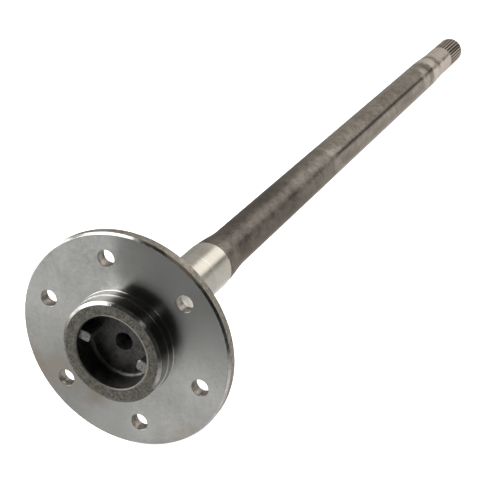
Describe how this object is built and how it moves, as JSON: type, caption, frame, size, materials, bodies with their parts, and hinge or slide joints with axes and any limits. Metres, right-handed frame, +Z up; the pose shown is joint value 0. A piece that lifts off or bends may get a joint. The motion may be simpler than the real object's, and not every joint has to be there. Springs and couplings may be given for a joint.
{
  "type": "axle shaft",
  "caption": "One-piece forged rear axle shaft: round wheel flange with bolt holes, hollow wheel pilot, ground bearing journal, long plain shaft and splined tail.",
  "frame": {"origin": "centre of the flange's wheel face, on the shaft's axis", "axes": "+X along the shaft towards the splined tail, +Z up through a bolt hole, as the shaft lies level in its axle tube"},
  "size_m": [0.8617, 0.165, 0.165],
  "materials": {
    "axle_shaft": "forged, with turned flange face and pilot and a ground journal"
  },
  "bodies": {
    "root": {"axle_shaft": "axle_shaft"}
  },
  "joints": []
}
